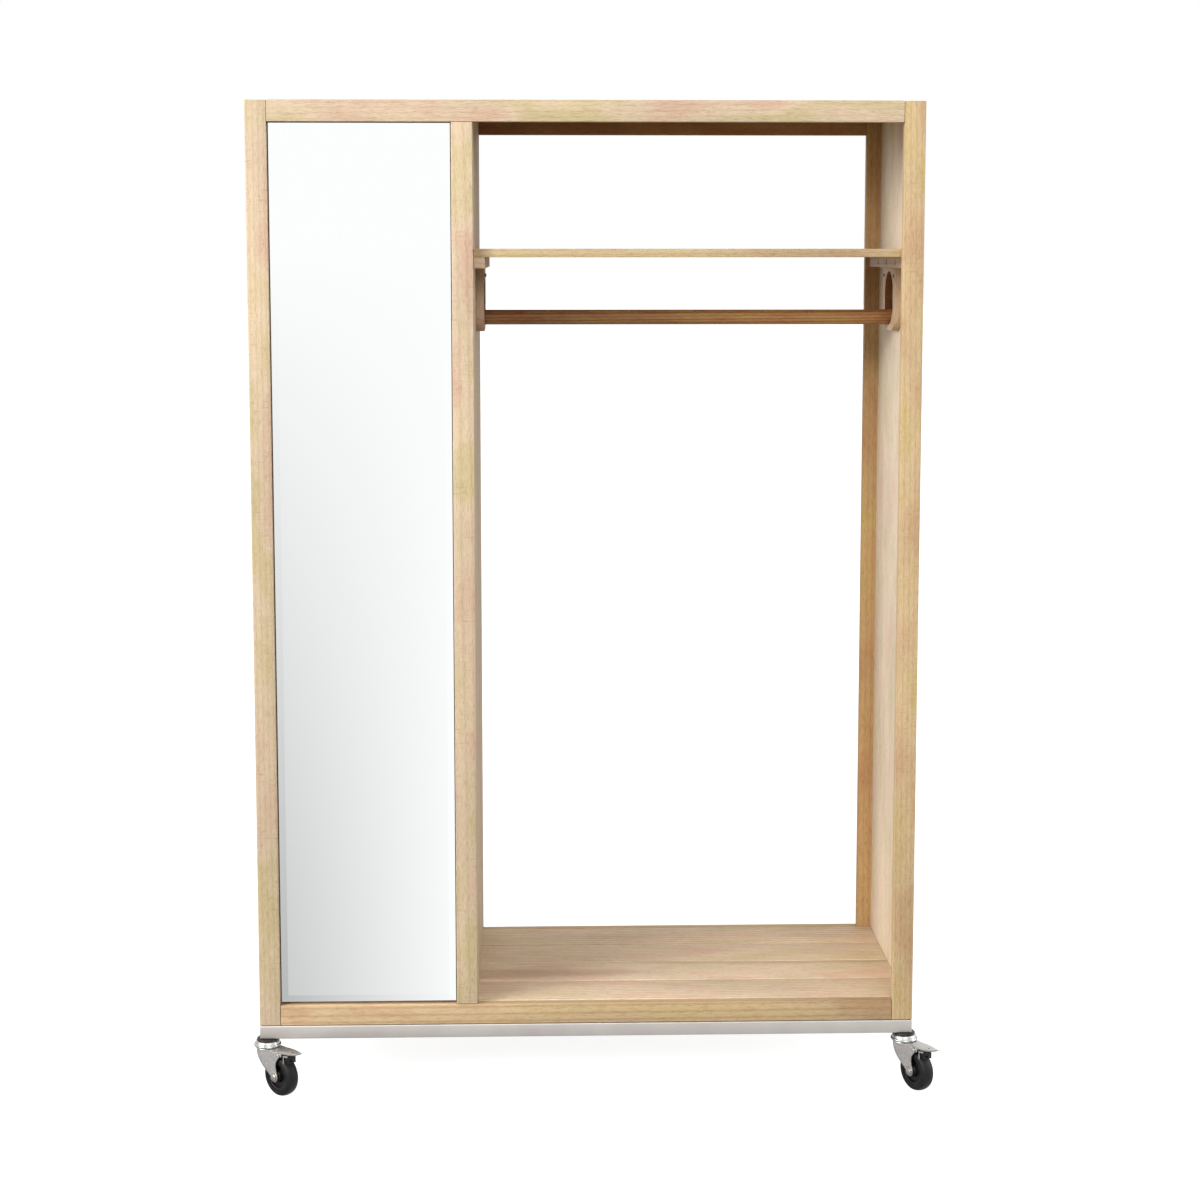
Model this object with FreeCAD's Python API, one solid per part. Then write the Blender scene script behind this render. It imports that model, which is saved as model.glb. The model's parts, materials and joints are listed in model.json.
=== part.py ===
"""Rolling clothes rack: a timber cabinet frame with a mirror bay and an open hanging bay.

Millimetres. Origin on the floor under the middle of the timber frame.
+X to the right seen from the front, +Y to the back, +Z up. The front face is at Y = -DEPTH / 2.
"""
import FreeCAD
import Part
import math
import os

V = FreeCAD.Vector

# Driving dimensions of the timber frame
WIDTH = 1200.0
DEPTH = 480.0
HEIGHT = 1800.0
CASTER_H = 100.0
TUBE = 25.0
TUBE_WALL = 2.0
FACE_W = 38.0
FRAME_T = 20.0
MIRROR_BAY_W = 323.0
PANEL_T = 10.0
BOARD_COUNT = 4
BOARD_T = 18.0

# Shelf, cleats, rod rings and rod
SHELF_TOP = 1540.0
SHELF_T = 15.0
CLEAT = 20.0
RING_T = 15.0
RING_DEPTH = 146.0
RING_H = 118.0
RING_CORNER = 45.0
RING_HOLE_D = 100.0
RING_UNDER_HOLE = 11.0
ROD_D = 28.0
ROD_GAP = 0.4
ROD_LENGTH = 779.0

# Mirror
MIRROR_SET_BACK = 10.0
MIRROR_GAP = 2.0
MIRROR_FOOT_GAP = 4.0
GLASS_T = 4.0
BACKING_T = 6.0
BATTEN = 12.0

# Swivel caster, in its own frame: swivel axis on Z, wheel trailing along +X
TRAIL = 38.0
WHEEL_R = 37.5
WHEEL_W = 24.0
HUB_R = 26.0
HUB_W = 26.0
AXLE_R = 4.0
SLEEVE_R = 5.0
LEG_IN = 15.0
LEG_T = 2.2
PIVOT_X = 46.0
PIVOT_Z = 80.0
PIVOT_R = 2.0
PEDAL_TIP_X = 103.0
RUN_CLEARANCE = 0.05
SWIVEL_INSET = 12.5
# Caster name: (side in X, side in Y, the trailing direction in degrees about Z)
CASTERS = {
    "front_left": (-1, -1, -44.0),
    "front_right": (1, -1, -60.0),
    "rear_left": (-1, 1, 120.0),
    "rear_right": (1, 1, 136.0),
}

# Derived positions
HALF_W = WIDTH / 2
HALF_D = DEPTH / 2
WOOD_Z = CASTER_H + TUBE
FLOOR_TOP = WOOD_Z + FACE_W
DIVIDER_X0 = -HALF_W + FACE_W + MIRROR_BAY_W
DIVIDER_X1 = DIVIDER_X0 + FACE_W
PANEL_X = HALF_W - PANEL_T
INNER_D = HALF_D - FRAME_T
SHELF_BOTTOM = SHELF_TOP - SHELF_T
CLEAT_BOTTOM = SHELF_BOTTOM - CLEAT
RING_BOTTOM = CLEAT_BOTTOM - RING_H
HOLE_Z = RING_BOTTOM + RING_UNDER_HOLE + RING_HOLE_D / 2
ROD_Z = HOLE_Z - RING_HOLE_D / 2 + ROD_GAP + ROD_D / 2
CLEAT_SCREW_Y = (-103.0, 0.0, 103.0)
RING_SCREWS = ((-58.0, 1490.0), (58.0, 1490.0))


def box(x0, x1, y0, y1, z0, z1):
    return Part.makeBox(x1 - x0, y1 - y0, z1 - z0, V(x0, y0, z0))


def cylinder(radius, start, end):
    a, b = V(*start), V(*end)
    return Part.makeCylinder(radius, (b - a).Length, a, b - a)


def prism(points, along):
    wire = Part.makePolygon([V(*p) for p in points] + [V(*points[0])])
    return Part.Face(wire).extrude(V(*along))


def revolved(profile):
    """The solid of revolution about Z of a closed (radius, height) outline."""
    wire = Part.makePolygon([V(r, 0, z) for r, z in profile + profile[:1]])
    return Part.Face(wire).revolve(V(0, 0, 0), V(0, 0, 1), 360)


def save(name, shape):
    shape.exportStep("parts/%s.step" % name)


# Timber face frames, front and rear

def frame_posts():
    """Corner posts run the whole height; the divider posts stand between the rails."""
    rows = {"front": -HALF_D, "rear": INNER_D}
    for row, y in rows.items():
        for side, x in (("left", -HALF_W), ("right", HALF_W - FACE_W)):
            save("%s_%s_post" % (row, side),
                 box(x, x + FACE_W, y, y + FRAME_T, WOOD_Z, HEIGHT))
        save("%s_divider_post" % row,
             box(DIVIDER_X0, DIVIDER_X1, y, y + FRAME_T, FLOOR_TOP, HEIGHT - FACE_W))


def frame_rails():
    rows = {"front": -HALF_D, "rear": INNER_D}
    heights = {"top": HEIGHT - FACE_W, "bottom": WOOD_Z}
    for row, y in rows.items():
        for level, z in heights.items():
            save("%s_%s_rail" % (row, level),
                 box(-HALF_W + FACE_W, HALF_W - FACE_W, y, y + FRAME_T, z, z + FACE_W))


# Panels, floor and shelf

def side_panels():
    save("left_side_panel", box(-HALF_W, -PANEL_X, -INNER_D, INNER_D, WOOD_Z, HEIGHT))
    save("right_side_panel", box(PANEL_X, HALF_W, -INNER_D, INNER_D, WOOD_Z, HEIGHT))


def divider_panel():
    save("divider_panel", box(DIVIDER_X1 - PANEL_T, DIVIDER_X1, -INNER_D, INNER_D,
                              FLOOR_TOP, HEIGHT - PANEL_T))


def top_panel():
    save("top_panel", box(-PANEL_X, PANEL_X, -INNER_D, INNER_D, HEIGHT - PANEL_T, HEIGHT))


def floor_boards():
    width = 2 * INNER_D / BOARD_COUNT
    for i in range(BOARD_COUNT):
        y = -INNER_D + i * width
        save("floor_board_%d" % (i + 1), box(-PANEL_X, PANEL_X, y, y + width,
                                             FLOOR_TOP - BOARD_T, FLOOR_TOP))


def floor_bearers():
    """Two strips on the steel side tubes, carrying the ends of the floor boards."""
    left = box(-PANEL_X, -PANEL_X + TUBE, -INNER_D, INNER_D, WOOD_Z, FLOOR_TOP - BOARD_T)
    right = box(PANEL_X - TUBE, PANEL_X, -INNER_D, INNER_D, WOOD_Z, FLOOR_TOP - BOARD_T)
    save("floor_bearers", Part.makeCompound([left, right]))


def shelf():
    save("shelf", box(DIVIDER_X1, PANEL_X, -INNER_D, INNER_D, SHELF_BOTTOM, SHELF_TOP))


def cleat_screw_cut(x, direction, y):
    """A counterbore for the head and a clearance hole for the shank, from the cleat's inner face."""
    z = CLEAT_BOTTOM + CLEAT / 2
    mouth = cylinder(5.5, (x, y, z), (x + direction * 9, y, z))
    shank = cylinder(2.0, (x, y, z), (x + direction * CLEAT, y, z))
    return mouth.fuse(shank)


def shelf_cleats():
    for name, wall, face in (("left", DIVIDER_X1, DIVIDER_X1 + CLEAT),
                             ("right", PANEL_X, PANEL_X - CLEAT)):
        direction = 1 if wall > face else -1
        shape = box(min(wall, face), max(wall, face), -INNER_D, INNER_D, CLEAT_BOTTOM, SHELF_BOTTOM)
        for y in CLEAT_SCREW_Y:
            shape = shape.cut(cleat_screw_cut(face, direction, y))
        save("%s_shelf_cleat" % name, shape)


def ring_blank(x):
    """A board with two rounded lower corners, RING_T thick from x towards +X."""
    half, r = RING_DEPTH / 2, RING_CORNER
    k = r * (1 - math.sqrt(0.5))
    low, top = RING_BOTTOM, CLEAT_BOTTOM
    edges = [
        Part.makeLine(V(x, -half, top), V(x, -half, low + r)),
        Part.Arc(V(x, -half, low + r), V(x, -half + k, low + k), V(x, -half + r, low)).toShape(),
        Part.makeLine(V(x, -half + r, low), V(x, half - r, low)),
        Part.Arc(V(x, half - r, low), V(x, half - k, low + k), V(x, half, low + r)).toShape(),
        Part.makeLine(V(x, half, low + r), V(x, half, top)),
        Part.makeLine(V(x, half, top), V(x, -half, top)),
    ]
    return Part.Face(Part.Wire(edges)).extrude(V(RING_T, 0, 0))


def rod_rings():
    for name, x in (("left", DIVIDER_X1), ("right", PANEL_X - RING_T)):
        hole = cylinder(RING_HOLE_D / 2, (x - 1, 0, HOLE_Z), (x + RING_T + 1, 0, HOLE_Z))
        shape = ring_blank(x).cut(hole)
        for y, z in RING_SCREWS:
            shape = shape.cut(cylinder(2.0, (x - 1, y, z), (x + RING_T + 1, y, z)))
        save("%s_rod_ring" % name, shape)


def hanging_rod():
    x0 = DIVIDER_X1 + 2.0
    rod = cylinder(ROD_D / 2, (x0, 0, ROD_Z), (x0 + ROD_LENGTH, 0, ROD_Z))
    save("hanging_rod", rod.makeChamfer(1.2, [e for e in rod.Edges if e.Closed]))


def pan_screw(x, direction, y, z, length):
    """A pan-head screw whose head's underside sits at x, the shank going along direction."""
    head = cylinder(3.8, (x, y, z), (x - direction * 2.4, y, z))
    shank = cylinder(2.0, (x, y, z), (x + direction * length, y, z))
    return head.fuse(shank).removeSplitter()


def shelf_screws():
    screws = []
    z = CLEAT_BOTTOM + CLEAT / 2
    for face, direction in ((DIVIDER_X1 + CLEAT, -1), (PANEL_X - CLEAT, 1)):
        for y in CLEAT_SCREW_Y:
            screws.append(pan_screw(face + direction * 9, direction, y, z, CLEAT - 9))
    for face, direction in ((DIVIDER_X1 + RING_T, -1), (PANEL_X - RING_T, 1)):
        for y, screw_z in RING_SCREWS:
            screws.append(pan_screw(face, direction, y, screw_z, RING_T))
    save("shelf_screws", Part.makeCompound(screws))


# Mirror

def mirror():
    x0, x1 = -HALF_W + FACE_W + MIRROR_GAP, DIVIDER_X0 - MIRROR_GAP
    z0, z1 = FLOOR_TOP + MIRROR_FOOT_GAP, HEIGHT - FACE_W - MIRROR_GAP
    y = -HALF_D + MIRROR_SET_BACK
    glass = box(x0, x1, y, y + GLASS_T, z0, z1)
    front = [e for e in glass.Edges if abs(e.BoundBox.YMax - y) < 1e-6]
    save("mirror_glass", glass.makeChamfer(1.2, front))
    save("mirror_backing", box(x0, x1, y + GLASS_T, y + GLASS_T + BACKING_T, z0, z1))


def mirror_battens():
    """Four strips behind the frame that lap over the backing's edges and hold the mirror in."""
    y0, y1 = -INNER_D, -INNER_D + BATTEN
    lap = 8.0
    left = box(-PANEL_X, -HALF_W + FACE_W + MIRROR_GAP + lap, y0, y1, FLOOR_TOP, HEIGHT - PANEL_T)
    right = box(DIVIDER_X0 - MIRROR_GAP - lap, DIVIDER_X1 - PANEL_T, y0, y1,
                FLOOR_TOP, HEIGHT - PANEL_T)
    inner = (-HALF_W + FACE_W + MIRROR_GAP + lap, DIVIDER_X0 - MIRROR_GAP - lap)
    foot = box(inner[0], inner[1], y0, y1, FLOOR_TOP, FLOOR_TOP + 16)
    head = box(inner[0], inner[1], y0, y1, HEIGHT - FACE_W - MIRROR_GAP - lap, HEIGHT - PANEL_T)
    save("mirror_battens", Part.makeCompound([left, right, foot, head]))


# Steel base

def tube(x0, x1, y0, y1):
    """A square tube lying in the plane Z = CASTER_H to WOOD_Z, hollow along its longer side."""
    w = TUBE_WALL
    outer = box(x0, x1, y0, y1, CASTER_H, WOOD_Z)
    if x1 - x0 > y1 - y0:
        return outer.cut(box(x0 + w, x1 - w, y0 + w, y1 - w, CASTER_H + w, WOOD_Z - w))
    return outer.cut(box(x0 + w, x1 - w, y0 - 1, y1 + 1, CASTER_H + w, WOOD_Z - w))


def base_tubes():
    hole_x, hole_y = HALF_W - SWIVEL_INSET, HALF_D - SWIVEL_INSET
    for name, y0, side in (("front", -HALF_D, -1), ("rear", HALF_D - TUBE, 1)):
        shape = tube(-HALF_W, HALF_W, y0, y0 + TUBE)
        for x in (-hole_x, hole_x):
            shape = shape.cut(cylinder(6 + RUN_CLEARANCE, (x, side * hole_y, CASTER_H - 1),
                                       (x, side * hole_y, CASTER_H + 5)))
        save("base_%s_tube" % name, shape)
    reach = HALF_D - TUBE
    save("base_left_tube", tube(-HALF_W, -HALF_W + TUBE, -reach, reach))
    save("base_right_tube", tube(HALF_W - TUBE, HALF_W, -reach, reach))


# Swivel caster parts, each built in the caster's own frame

def caster_head():
    """Stem, collar, domed race ring and king pin, all fixed to the base."""
    ring = revolved([(0, 84.7), (22.0, 84.7), (24.2, 86.0), (25.0, 88.0), (24.2, 89.6), (22.4, 90.6),
                     (21.6, 92.2), (20.6, 94.6), (18.8, 96.0), (0, 96.0)])
    collar = cylinder(20.0, (0, 0, 96.0), (0, 0, CASTER_H))
    stem = cylinder(6.0, (0, 0, CASTER_H), (0, 0, CASTER_H + 16))
    pin = cylinder(5.0, (0, 0, 80.0), (0, 0, 84.7))
    rivet = cylinder(8.0, (0, 0, 78.4), (0, 0, 81.4))
    return ring.fuse([collar, stem, pin, rivet]).removeSplitter()


def leg_outline(y):
    """The side of the fork: wide under the race, narrowing to a round boss at the axle."""
    boss = 9.0
    low = math.radians(225)
    end = V(TRAIL + boss * math.cos(low), y, WHEEL_R + boss * math.sin(low))
    low_end = V(TRAIL, y, WHEEL_R - boss)
    side_end = V(TRAIL + boss, y, WHEEL_R)
    edges = [
        Part.makeLine(V(38, y, 84.2), V(-13, y, 84.2)),
        Part.Arc(V(-13, y, 84.2), V(2, y, 58.0), end).toShape(),
        Part.Arc(end, low_end, side_end).toShape(),
        Part.Arc(side_end, V(42.6, y, 52.0), V(41.0, y, 66.0)).toShape(),
        Part.Arc(V(41.0, y, 66.0), V(45.0, y, 72.5), V(51.0, y, 75.5)).toShape(),
        Part.Arc(V(51.0, y, 75.5), V(52.4, y, 80.5), V(48.0, y, 84.2)).toShape(),
        Part.makeLine(V(48.0, y, 84.2), V(38, y, 84.2)),
    ]
    return Part.Face(Part.Wire(edges))


def caster_fork():
    legs = [leg_outline(LEG_IN).extrude(V(0, LEG_T, 0)),
            leg_outline(-LEG_IN - LEG_T).extrude(V(0, LEG_T, 0))]
    half = LEG_IN + LEG_T
    crown = cylinder(22.5, (0, 0, 81.8), (0, 0, 84.2)).fuse(box(0, 33, -half, half, 81.8, 84.2))
    skirt = revolved([(20.1, 84.2), (22.5, 84.2), (20.0, 66.0), (17.6, 66.0)])
    skirt = skirt.common(box(-30, 0, -30, 30, 60, 90))
    shape = crown.fuse(legs + [skirt]).removeSplitter()
    holes = [
        cylinder(5 + RUN_CLEARANCE, (0, 0, 80), (0, 0, 86)),
        cylinder(AXLE_R + RUN_CLEARANCE, (TRAIL, -30, WHEEL_R), (TRAIL, 30, WHEEL_R)),
        cylinder(PIVOT_R + RUN_CLEARANCE, (PIVOT_X, -30, PIVOT_Z), (PIVOT_X, 30, PIVOT_Z)),
    ]
    return shape.cut(holes[0]).cut(holes[1]).cut(holes[2])


def caster_tyre():
    half = WHEEL_W / 2
    rim = [(HUB_R, -half), (WHEEL_R - 5.5, -half), (WHEEL_R - 1.8, -half + 3.0), (WHEEL_R - 0.4, -5.0),
           (WHEEL_R, 0), (WHEEL_R - 0.4, 5.0), (WHEEL_R - 1.8, half - 3.0), (WHEEL_R - 5.5, half),
           (HUB_R, half)]
    return to_axle(revolved(rim))


def caster_hub():
    half, bore = HUB_W / 2, SLEEVE_R + RUN_CLEARANCE
    web = [(bore, -half), (11.0, -half), (12.0, -7.0), (20.5, -7.0), (22.0, -11.0), (HUB_R, -11.0),
           (HUB_R, 11.0), (22.0, 11.0), (20.5, 7.0), (12.0, 7.0), (11.0, half), (bore, half)]
    return to_axle(revolved(web))


def to_axle(shape):
    """Turns a shape revolved about Z onto the wheel axis."""
    shape.rotate(V(0, 0, 0), V(1, 0, 0), 90)
    shape.translate(V(TRAIL, 0, WHEEL_R))
    return shape


def hexagon(flats, y0, y1):
    r = flats / math.sqrt(3)
    corners = [(TRAIL + r * math.cos(math.radians(60 * i)), y0,
                WHEEL_R + r * math.sin(math.radians(60 * i))) for i in range(6)]
    return prism(corners, (0, y1 - y0, 0))


def caster_axle():
    """Axle bolt with its head, nut and the spacer sleeve between the fork's legs."""
    out = LEG_IN + LEG_T
    bolt = cylinder(AXLE_R, (TRAIL, -out - 4, WHEEL_R), (TRAIL, out + 7, WHEEL_R))
    sleeve = cylinder(SLEEVE_R, (TRAIL, -LEG_IN, WHEEL_R), (TRAIL, LEG_IN, WHEEL_R))
    return bolt.fuse([sleeve, hexagon(12.0, -out - 4, -out), hexagon(12.0, out, out + 5)]).removeSplitter()


def caster_pedal():
    """Foot plate with side ears on a pivot pin, and the brake shoe under it."""
    plate = prism([(37.0, -15.0, 85.2), (46.0, -15.0, 85.4), (82.0, -15.0, 86.6), (PEDAL_TIP_X, -15.0, 93.4),
                   (PEDAL_TIP_X, -15.0, 95.2), (81.6, -15.0, 88.4), (45.8, -15.0, 87.2), (37.0, -15.0, 87.0)], (0, 30.0, 0))
    half = [(36.0, 12.6), (44.0, 15.0), (62.0, 15.0), (72.0, 12.8), (88.0, 7.6), (98.0, 4.0), (PEDAL_TIP_X, 1.8)]
    plan = prism([(x, -y, 80.0) for x, y in half] + [(x, y, 80.0) for x, y in reversed(half)], (0, 0, 20.0))
    plate = plate.common(plan)
    ears = []
    for y in (-14.2, 12.2):
        ears.append(prism([(40.5, y, 86.0), (41.5, y, 78.0), (45.0, y, 76.6), (50.0, y, 76.6),
                           (56.0, y, 84.0), (56.0, y, 88.5)], (0, 2.0, 0)))
    pin = cylinder(PIVOT_R, (PIVOT_X, -LEG_IN - LEG_T, PIVOT_Z), (PIVOT_X, LEG_IN + LEG_T, PIVOT_Z))
    shoe = box(55.0, 67.0, -10.0, 10.0, 60.0, 88.0)
    clear = cylinder(WHEEL_R + 3.4, (TRAIL, -20, WHEEL_R), (TRAIL, 20, WHEEL_R))
    return plate.fuse(ears + [pin, shoe.cut(clear)]).removeSplitter()


def placed(shape, name):
    """Turns a caster part to its trailing direction and moves it under its corner."""
    side_x, side_y, angle = CASTERS[name]
    shape.rotate(V(0, 0, 0), V(0, 0, 1), angle)
    shape.translate(V(side_x * (HALF_W - SWIVEL_INSET), side_y * (HALF_D - SWIVEL_INSET), 0))
    return shape


def casters():
    makers = {"fork": caster_fork, "tyre": caster_tyre, "hub": caster_hub,
              "axle": caster_axle, "pedal": caster_pedal}
    for name in CASTERS:
        for part, make in makers.items():
            save("%s_caster_%s" % (name, part), placed(make(), name))
    save("caster_heads", Part.makeCompound([placed(caster_head(), name) for name in CASTERS]))


os.makedirs("parts", exist_ok=True)
frame_posts()
frame_rails()
side_panels()
divider_panel()
top_panel()
floor_boards()
floor_bearers()
shelf()
shelf_cleats()
rod_rings()
hanging_rod()
shelf_screws()
mirror()
mirror_battens()
base_tubes()
casters()
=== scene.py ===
# %% [markdown]
# # A rolling clothes rack
# The rack is a softwood cabinet frame on a welded steel base with four braked casters. A tall
# mirror fills the narrow bay on the left. The wide bay is open: it has a shelf, a brown
# hanging rod that lies loose in two wooden rings, and a floor of four boards.
# The CAD model gives every size and every moving body, so this script first loads it, and then
# builds nicer pieces over it, at exactly the same places.

# %% Load the CAD frame
import json
import math

import bpy
from mathutils import Matrix, Vector


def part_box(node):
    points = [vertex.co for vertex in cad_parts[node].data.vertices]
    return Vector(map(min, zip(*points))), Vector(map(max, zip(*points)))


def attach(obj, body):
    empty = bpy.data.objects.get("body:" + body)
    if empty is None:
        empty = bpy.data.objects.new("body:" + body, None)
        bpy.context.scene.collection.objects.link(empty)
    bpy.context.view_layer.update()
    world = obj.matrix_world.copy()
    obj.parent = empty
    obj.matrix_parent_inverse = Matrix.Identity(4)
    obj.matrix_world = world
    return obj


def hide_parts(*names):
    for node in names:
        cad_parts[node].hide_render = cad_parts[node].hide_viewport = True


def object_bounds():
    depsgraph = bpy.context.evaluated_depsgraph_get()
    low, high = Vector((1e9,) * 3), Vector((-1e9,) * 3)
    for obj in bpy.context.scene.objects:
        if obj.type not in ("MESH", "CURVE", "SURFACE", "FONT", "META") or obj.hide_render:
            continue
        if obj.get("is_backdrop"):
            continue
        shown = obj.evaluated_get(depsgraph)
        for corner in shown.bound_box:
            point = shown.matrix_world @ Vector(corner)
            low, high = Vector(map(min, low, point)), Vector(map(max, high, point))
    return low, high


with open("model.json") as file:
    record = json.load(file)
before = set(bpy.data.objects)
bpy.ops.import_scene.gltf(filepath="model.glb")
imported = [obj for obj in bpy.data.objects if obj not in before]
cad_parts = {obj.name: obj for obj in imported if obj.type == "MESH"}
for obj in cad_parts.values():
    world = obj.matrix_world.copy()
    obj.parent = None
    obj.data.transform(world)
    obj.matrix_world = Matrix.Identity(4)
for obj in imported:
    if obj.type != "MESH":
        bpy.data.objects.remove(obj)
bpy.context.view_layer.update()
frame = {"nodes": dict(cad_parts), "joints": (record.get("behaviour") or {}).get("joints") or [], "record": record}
NODES = frame["nodes"]

# %% [markdown]
# ## Selecting in code
# Blender's operators act on everything that is selected, and loading the CAD model leaves its
# nodes selected. So each step starts by deselecting everything. Faces and edges are then picked
# by where they lie, which is what one does by eye when modelling by hand.

# %% Selection and shaping helpers
MM = 0.001
QUARTER = math.radians(90)
LYING_ALONG_X = (0, QUARTER, 0)
LYING_ALONG_Y = (QUARTER, 0, 0)


def deselect():
    if bpy.context.object and bpy.context.object.mode != "OBJECT":
        bpy.ops.object.mode_set(mode="OBJECT")
    bpy.ops.object.select_all(action="DESELECT")


def named(name):
    """The newly added object, under its own name and with its place moved into its mesh."""
    piece = bpy.context.object
    piece.name = piece.data.name = name
    bpy.ops.object.transform_apply(location=True, rotation=True, scale=True)
    return piece


def pick(piece, kind, test):
    """Enters edit mode with just the vertices, edges or faces selected that pass a test."""
    deselect()
    piece.select_set(True)
    bpy.context.view_layer.objects.active = piece
    bpy.ops.object.mode_set(mode="EDIT")
    bpy.ops.mesh.select_mode(type={"vertices": "VERT", "edges": "EDGE", "polygons": "FACE"}[kind])
    bpy.ops.mesh.select_all(action="DESELECT")
    bpy.ops.object.mode_set(mode="OBJECT")
    mesh = piece.data
    for part in getattr(mesh, kind):
        if kind == "vertices":
            part.select = test(part.co)
        elif kind == "edges":
            a, b = (mesh.vertices[i].co for i in part.vertices)
            part.select = test(a, b)
        else:
            part.select = test(part.center, part.normal)
    bpy.ops.object.mode_set(mode="EDIT")


def done():
    bpy.ops.object.mode_set(mode="OBJECT")


def apply_all(piece):
    deselect()
    piece.select_set(True)
    bpy.context.view_layer.objects.active = piece
    for modifier in list(piece.modifiers):
        bpy.ops.object.modifier_apply(modifier=modifier.name)


def block(name, low, high):
    """A box from corner to corner: the start of a board or a tube."""
    deselect()
    low, high = Vector(low), Vector(high)
    bpy.ops.mesh.primitive_cube_add(size=1, location=(low + high) / 2, scale=high - low)
    return named(name)


def eased(piece, radius, segments=3, angle=40):
    """Rounds the sharp edges, as sandpaper does on wood and a press does on sheet metal."""
    bevel = piece.modifiers.new("eased", "BEVEL")
    bevel.width, bevel.segments, bevel.limit_method = radius, segments, "ANGLE"
    bevel.angle_limit = math.radians(angle)
    apply_all(piece)
    return piece


def smooth(piece, degrees=35):
    deselect()
    piece.select_set(True)
    bpy.context.view_layer.objects.active = piece
    bpy.ops.object.shade_smooth_by_angle(angle=math.radians(degrees))


def cut_out(piece, tool):
    """Cuts a tool's shape out of a piece and throws the tool away."""
    cut = piece.modifiers.new("cut", "BOOLEAN")
    cut.object, cut.operation, cut.solver = tool, "DIFFERENCE", "EXACT"
    apply_all(piece)
    bpy.data.objects.remove(tool)


def bored(piece, radius, depth, centre, lying, segments=72):
    """Cuts a round hole, radius and depth in mm, as a drill, hole saw or press tool does."""
    deselect()
    bpy.ops.mesh.primitive_cylinder_add(vertices=segments, radius=radius * MM, depth=depth * MM,
                                        location=centre, rotation=lying)
    cut_out(piece, named("drill"))
    return piece


def joined(name, pieces):
    """Joins finished pieces into one object."""
    deselect()
    for piece in pieces:
        piece.select_set(True)
    bpy.context.view_layer.objects.active = pieces[0]
    bpy.ops.object.join()
    whole = bpy.context.object
    whole.name = whole.data.name = name
    return whole


def hang(piece, body, slot, material, *nodes):
    """Gives a finished piece its material, its CAD body and the CAD nodes it stands for."""
    piece.data.materials.clear()
    piece.data.materials.append(material)
    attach(piece, body)
    if nodes:
        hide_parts(*nodes)


# %% [markdown]
# ## Adding shader nodes
# Every finish here is procedural: it is worked out from the position on the piece, so it needs no
# pictures and has no seams. One small function adds a node, sets it and links it. Colours are
# written as the sRGB hex values that a colour picker shows and are turned to linear light.

# %% Node and colour helpers


def linear(code):
    """An sRGB hex colour as linear RGBA."""
    parts = [int(code[i:i + 2], 16) / 255 for i in (1, 3, 5)]
    return tuple(c / 12.92 if c <= 0.04045 else ((c + 0.055) / 1.055) ** 2.4
                 for c in parts) + (1.0,)


def add(tree, kind, inputs=None, stops=None, **settings):
    """One node with its settings, its input values or links, and its ramp stops if it is a ramp."""
    node = tree.nodes.new(kind)
    for key, value in settings.items():
        setattr(node, key, value)
    for key, value in (inputs or {}).items():
        if isinstance(value, bpy.types.NodeSocket):
            tree.links.new(value, node.inputs[key])
        else:
            node.inputs[key].default_value = value
    if stops:
        ramp = node.color_ramp.elements
        for i, (place, value) in enumerate(stops):
            stop = ramp[i] if i < 2 else ramp.new(place)
            stop.position = place
            stop.color = value if isinstance(value, tuple) else (value, value, value, 1)
    return node


def blank(name):
    """A new material with an empty Principled shader, and its node tree."""
    material = bpy.data.materials.new(name)
    material.use_nodes = True
    tree = material.node_tree
    tree.nodes.clear()
    shader = add(tree, "ShaderNodeBsdfPrincipled")
    add(tree, "ShaderNodeOutputMaterial", {"Surface": shader.outputs["BSDF"]})
    return material, tree, shader


# %% [markdown]
# ## Pale sawn timber
# The timber is pale, sawn, lightly planed and left nearly bare. Its colour
# wanders between cream, pink and a greenish yellow in patches as long as a finger. A board is cut
# from a trunk, so its figure is a slice through nested rings: long arches on a flat-sawn face and
# straight lines on an edge. Drawing rings round an axis in 3D and letting the board cut them gives
# both for free. The grain runs along the board, so the coordinates are first turned to put the
# board's length on Z, and then squeezed along it.
# Over that lie short dark pores along the grain and, across it, the fine broken lines that the
# saw blade left. Real pores are 0.2 mm wide; here they are 1 mm, as anything finer wouldn't show.

# %% Timber material
ALONG = {"X": (0, math.radians(-90), 0), "Y": (math.radians(90), 0, 0), "Z": (0, 0, 0)}


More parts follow.
